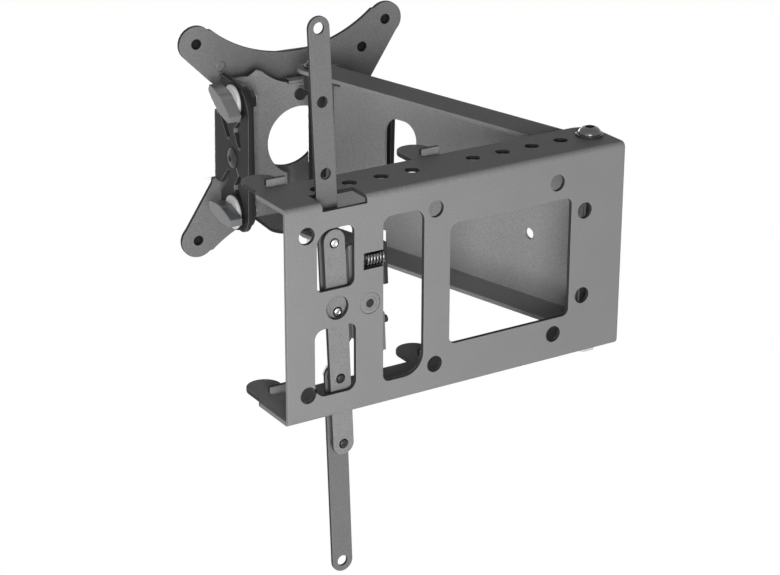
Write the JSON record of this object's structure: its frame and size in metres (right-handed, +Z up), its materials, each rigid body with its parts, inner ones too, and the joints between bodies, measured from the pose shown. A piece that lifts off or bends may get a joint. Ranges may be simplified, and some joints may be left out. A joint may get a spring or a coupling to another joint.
{
  "type": "folding tv mount",
  "caption": "Folding wall and ceiling mount for a small screen: slotted wall channel, swinging arm, tilting and swivelling screen plate with wing knobs, and a lock lever on pull strips.",
  "frame": {"origin": "centre of the six wall holes, on the wall side of the channel's web", "axes": "+X to the right along the channel, +Y away from the wall, +Z up"},
  "size_m": [0.1778, 0.214, 0.2414],
  "materials": {
    "powder_coat": "fine textured powder coat",
    "black_steel": "black oxide",
    "zinc": "bright zinc",
    "nylon": "natural nylon",
    "rubber": "matt",
    "knob_plastic": "satin moulded plastic",
    "spring_wire": "blackened spring wire"
  },
  "bodies": {
    "wall": {"wall_channel": "powder_coat", "pivot_bolt": "black_steel", "pivot_washers": "zinc", "pivot_spacers": "nylon", "pivot_nut": "zinc", "lever_rivet": "black_steel", "lever_bush": "nylon"},
    "lever": {"lock_lever": "powder_coat", "upper_strip": "powder_coat", "lower_strip": "powder_coat", "zinc_screws": "zinc", "strip_spacers": "black_steel", "strip_nuts": "zinc", "lower_strip_screws": "black_steel", "latch_pin": "black_steel", "return_spring": "spring_wire"},
    "arm": {"folding_arm": "powder_coat", "swivel_bolt": "black_steel", "swivel_washers": "zinc", "swivel_nut": "zinc"},
    "head": {"tilt_bracket": "powder_coat", "swivel_sleeve": "black_steel", "swivel_spacers": "nylon", "bracket_rivet": "black_steel", "pivot_screw_nuts": "zinc", "tilt_screws": "black_steel"},
    "screen": {"screen_plate": "powder_coat", "knob_nuts": "zinc", "guide_screws": "black_steel", "guide_nuts": "zinc", "upper_stud": "zinc", "upper_knob_washer": "nylon", "upper_knob_disc": "rubber", "lower_stud": "zinc", "lower_knob_washer": "nylon", "lower_knob_disc": "rubber"},
    "upper_wing": {"upper_knob": "knob_plastic"},
    "lower_wing": {"lower_knob": "knob_plastic"}
  },
  "joints": [
    {"name": "arm_swing", "type": "hinge", "parent": "wall", "child": "arm", "pos_m": [0.0868, 0.015, 0], "axis": [0, 0, 1], "range_deg": [-60, 72.8]},
    {"name": "head_swivel", "type": "hinge", "parent": "arm", "child": "head", "pos_m": [0.04426, 0.17163, 0], "axis": [0, 0, 1], "range_deg": [-35, 25]},
    {"name": "head_tilt", "type": "hinge", "parent": "head", "child": "screen", "pos_m": [0.04515, 0.1836, 0.0003], "axis": [0.9972, -0.0743, 0], "range_deg": [-10, 10]},
    {"name": "upper_knob_turn", "type": "hinge", "parent": "screen", "child": "upper_wing", "pos_m": [0.00634, 0.1809, 0.02994], "axis": [-0.9972, 0.0743, 0], "continuous": true},
    {"name": "lower_knob_turn", "type": "hinge", "parent": "screen", "child": "lower_wing", "pos_m": [0.00652, 0.18326, -0.02541], "axis": [-0.9972, 0.0743, 0], "continuous": true},
    {"name": "lock_lever_turn", "type": "hinge", "parent": "wall", "child": "lever", "pos_m": [-0.0311, 0, -0.0002], "axis": [0, 1, 0], "range_deg": [0, 10], "stiffness_Nm_per_rad": 0.3, "springref_deg": -11.46, "deforming": ["return_spring"]}
  ]
}
